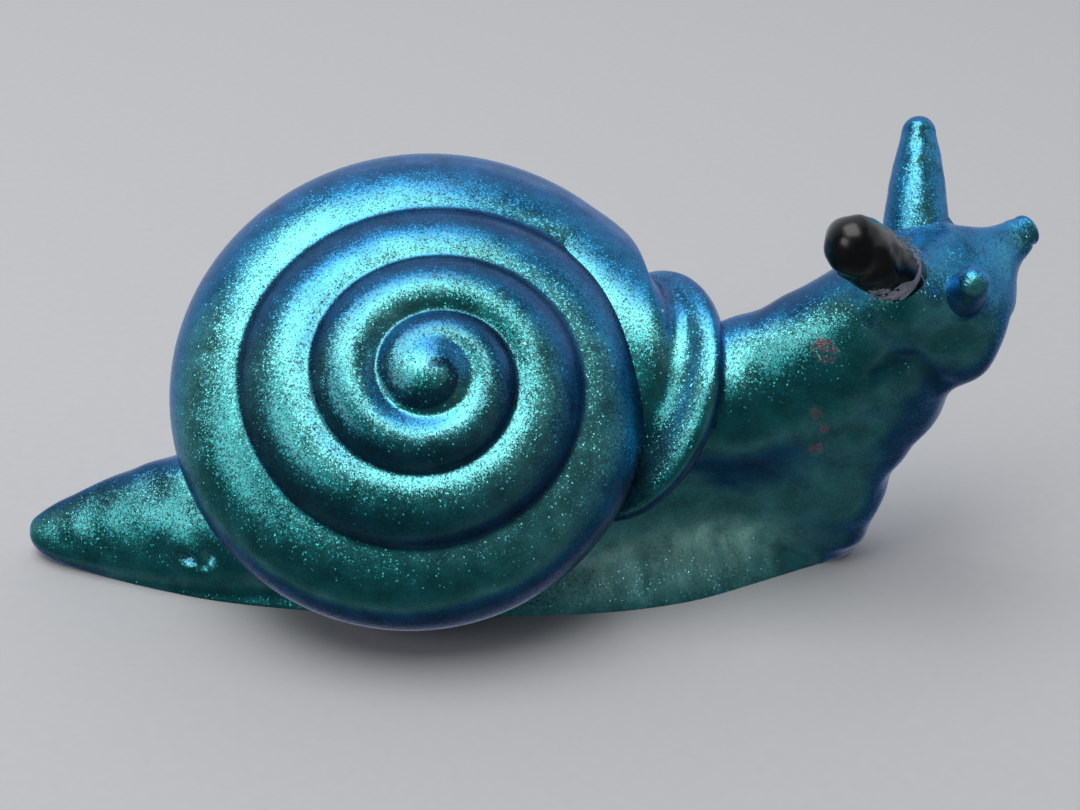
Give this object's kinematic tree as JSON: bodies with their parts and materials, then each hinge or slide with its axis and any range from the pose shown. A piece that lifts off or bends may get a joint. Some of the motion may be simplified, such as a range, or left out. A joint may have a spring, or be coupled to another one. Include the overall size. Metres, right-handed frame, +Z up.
{
  "type": "snail figurine",
  "caption": "Crawling snail ornament with a leaning coiled shell, rolled shell lip, raised head and horns, standing on a flat sole",
  "frame": {"origin": "on the flat sole, under the middle of the foot", "axes": "+X runs from the tail to the head, +Z is up from the sole, and the shell's apex and the side seen in the picture face -Y"},
  "size_m": [0.0904, 0.0391, 0.041],
  "materials": {
    "colour_shift_paint": "satin",
    "black_resin": "gloss",
    "dried_glue": "matte",
    "birch_dowel": "matte",
    "steel_wire": "satin"
  },
  "bodies": {
    "root": {"body": "colour_shift_paint", "shell": "colour_shift_paint", "near_eye_stalk": "black_resin", "far_eye_stalk": "colour_shift_paint", "near_feeler": "colour_shift_paint", "far_feeler": "colour_shift_paint", "stalk_glue_bead": "dried_glue", "shell_dowels": "birch_dowel", "eye_stalk_pins": "steel_wire", "feeler_pins": "steel_wire"}
  },
  "joints": []
}
